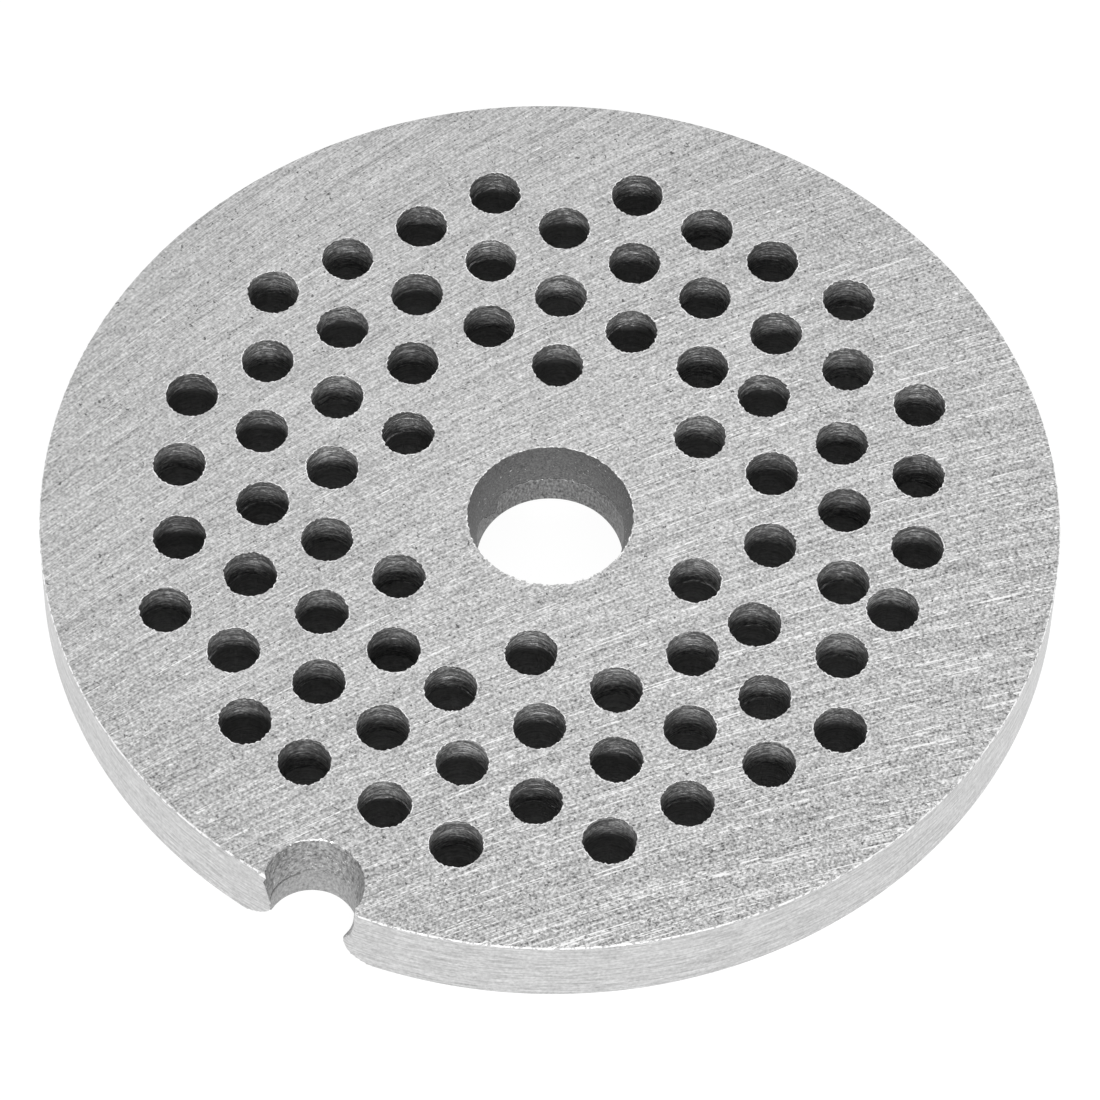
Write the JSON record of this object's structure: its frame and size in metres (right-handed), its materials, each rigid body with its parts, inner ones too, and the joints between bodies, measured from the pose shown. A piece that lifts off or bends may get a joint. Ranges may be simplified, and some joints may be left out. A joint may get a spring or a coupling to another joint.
{
  "type": "meat grinder plate",
  "caption": "Round steel grinder plate with a staggered field of drilled holes, a central shaft bore and a half-round key notch in its rim.",
  "frame": {"origin": "on the bore's axis, on the back face", "axes": "+Z along the bore, from the back face to the cutting face that the knife sweeps; the key notch is at -Y"},
  "size_m": [0.062, 0.0619, 0.0054],
  "materials": {
    "ground_steel": "surface-ground faces with fine parallel scratches, satin turned rim, dark drilled holes"
  },
  "bodies": {
    "root": {"grinder_plate": "ground_steel"}
  },
  "joints": []
}
